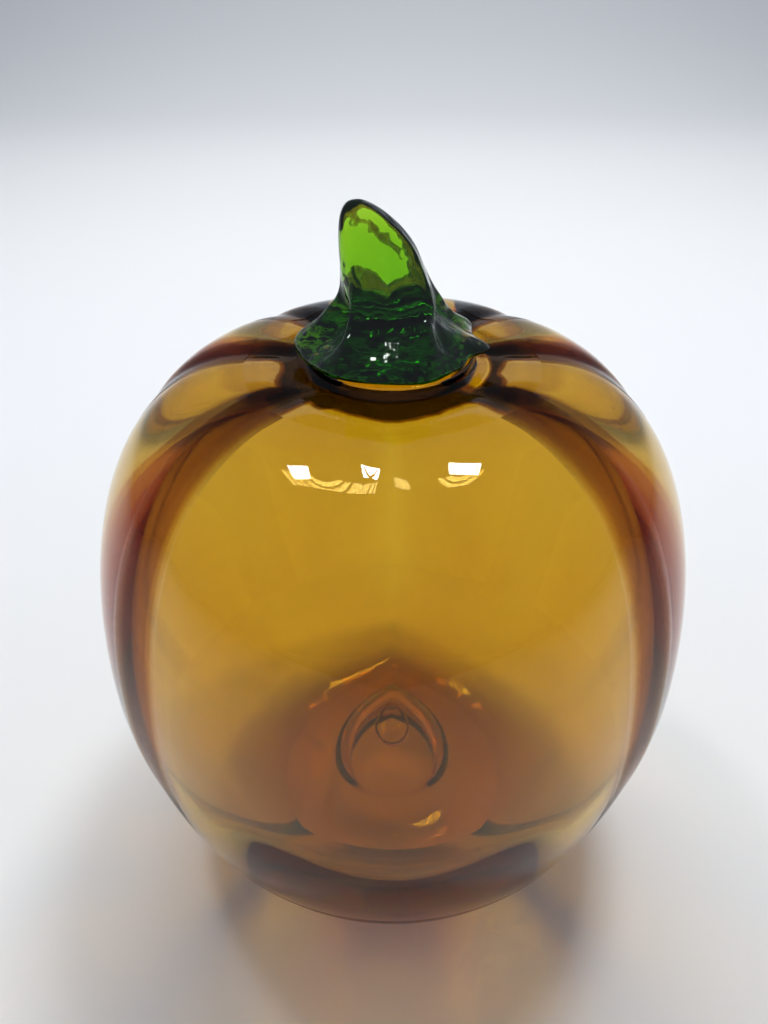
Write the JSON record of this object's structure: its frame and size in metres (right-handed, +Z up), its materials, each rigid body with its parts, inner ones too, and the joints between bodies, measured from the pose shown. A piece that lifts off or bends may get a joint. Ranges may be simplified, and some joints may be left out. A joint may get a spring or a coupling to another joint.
{
  "type": "blown glass pumpkin",
  "caption": "Hollow ribbed pumpkin of amber glass with dark glass trails in its grooves, a dark wrap at crown and base, and a solid green glass stem.",
  "frame": {"origin": "on the table, in the middle of the ring that the pumpkin stands on", "axes": "+Z up through the stem, -Y to the front, where the widest clear lobe is, +X to the right of someone facing it"},
  "size_m": [0.189, 0.1886, 0.2335],
  "materials": {
    "amber_glass": "fire-polished, clear",
    "dark_glass": "fire-polished, aubergine brown",
    "green_glass": "fire-polished, deep green"
  },
  "bodies": {
    "root": {"amber_body": "amber_glass", "front_left_trail": "dark_glass", "front_right_trail": "dark_glass", "left_trail": "dark_glass", "right_trail": "dark_glass", "back_left_trail": "dark_glass", "back_right_trail": "dark_glass", "crown_wrap": "dark_glass", "base_wrap": "dark_glass", "stem": "green_glass", "pontil_seal": "amber_glass"}
  },
  "joints": []
}
